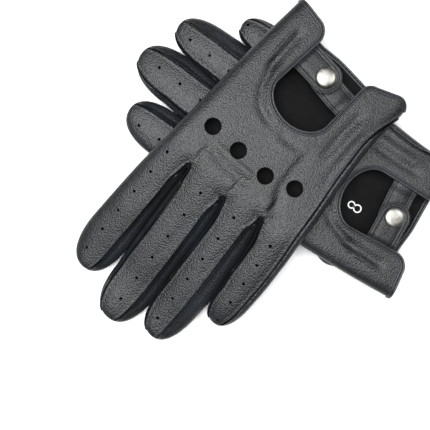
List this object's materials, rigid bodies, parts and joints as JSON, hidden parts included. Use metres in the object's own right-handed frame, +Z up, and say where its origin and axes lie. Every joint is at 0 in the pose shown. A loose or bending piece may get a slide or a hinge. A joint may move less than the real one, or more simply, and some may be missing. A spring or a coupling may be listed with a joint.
{
  "type": "pair of driving gloves",
  "caption": "Pair of leather driving gloves, one laid across the other, with knuckle holes, finger perforations and a press-stud flap over a bound keyhole at the wrist.",
  "frame": {"origin": "on the table, under the middle of the pair's bounding box", "axes": "+Y runs from the left glove's wrist to its fingertips, +X towards the left glove's index finger, +Z up through the pair as it lies"},
  "size_m": [0.2242, 0.231, 0.0347],
  "materials": {
    "nappa_leather": "satin fine grain",
    "strap_leather": "satin pebbled grain",
    "binding_leather": "satin, rolled edge",
    "lining_leather": "suede",
    "nickel_cap": "satin nickel plate",
    "nickel_fittings": "bright nickel plate"
  },
  "bodies": {
    "right_glove": {"right_back_panel": "nappa_leather", "right_palm_panel": "nappa_leather", "right_thumb_inner": "nappa_leather", "right_thumb_outer": "nappa_leather", "right_fourchette_index_middle": "nappa_leather", "right_fourchette_middle_ring": "nappa_leather", "right_fourchette_ring_little": "nappa_leather", "right_keyhole_binding": "binding_leather", "right_cuff_binding": "binding_leather", "right_tab": "strap_leather", "right_tab_lining": "lining_leather", "right_snap_stud": "nickel_fittings", "right_snap_rivet": "nickel_fittings"},
    "right_closure": {"right_flap": "strap_leather", "right_flap_lining": "lining_leather", "right_snap_cap": "nickel_cap", "right_snap_socket": "nickel_fittings"},
    "left_glove": {"left_back_panel": "nappa_leather", "left_palm_panel": "nappa_leather", "left_thumb_inner": "nappa_leather", "left_thumb_outer": "nappa_leather", "left_fourchette_index_middle": "nappa_leather", "left_fourchette_middle_ring": "nappa_leather", "left_fourchette_ring_little": "nappa_leather", "left_keyhole_binding": "binding_leather", "left_cuff_binding": "binding_leather", "left_tab": "strap_leather", "left_tab_lining": "lining_leather", "left_snap_stud": "nickel_fittings", "left_snap_rivet": "nickel_fittings"},
    "left_closure": {"left_flap": "strap_leather", "left_flap_lining": "lining_leather", "left_snap_cap": "nickel_cap", "left_snap_socket": "nickel_fittings"}
  },
  "joints": [
    {"name": "left_glove_lift", "type": "slide", "parent": "right_glove", "child": "left_glove", "axis": [0, 0, 1], "range_m": [0, 0.07]},
    {"name": "left_flap_hinge", "type": "hinge", "parent": "left_glove", "child": "left_closure", "pos_m": [0.03033, -0.0898, 0.0333], "axis": [0.0826, 0.9966, 0], "range_deg": [0, 150]},
    {"name": "right_flap_hinge", "type": "hinge", "parent": "right_glove", "child": "right_closure", "pos_m": [-0.08289, -0.03875, 0.0189], "axis": [-0.9722, -0.2341, 0], "range_deg": [0, 150]}
  ]
}
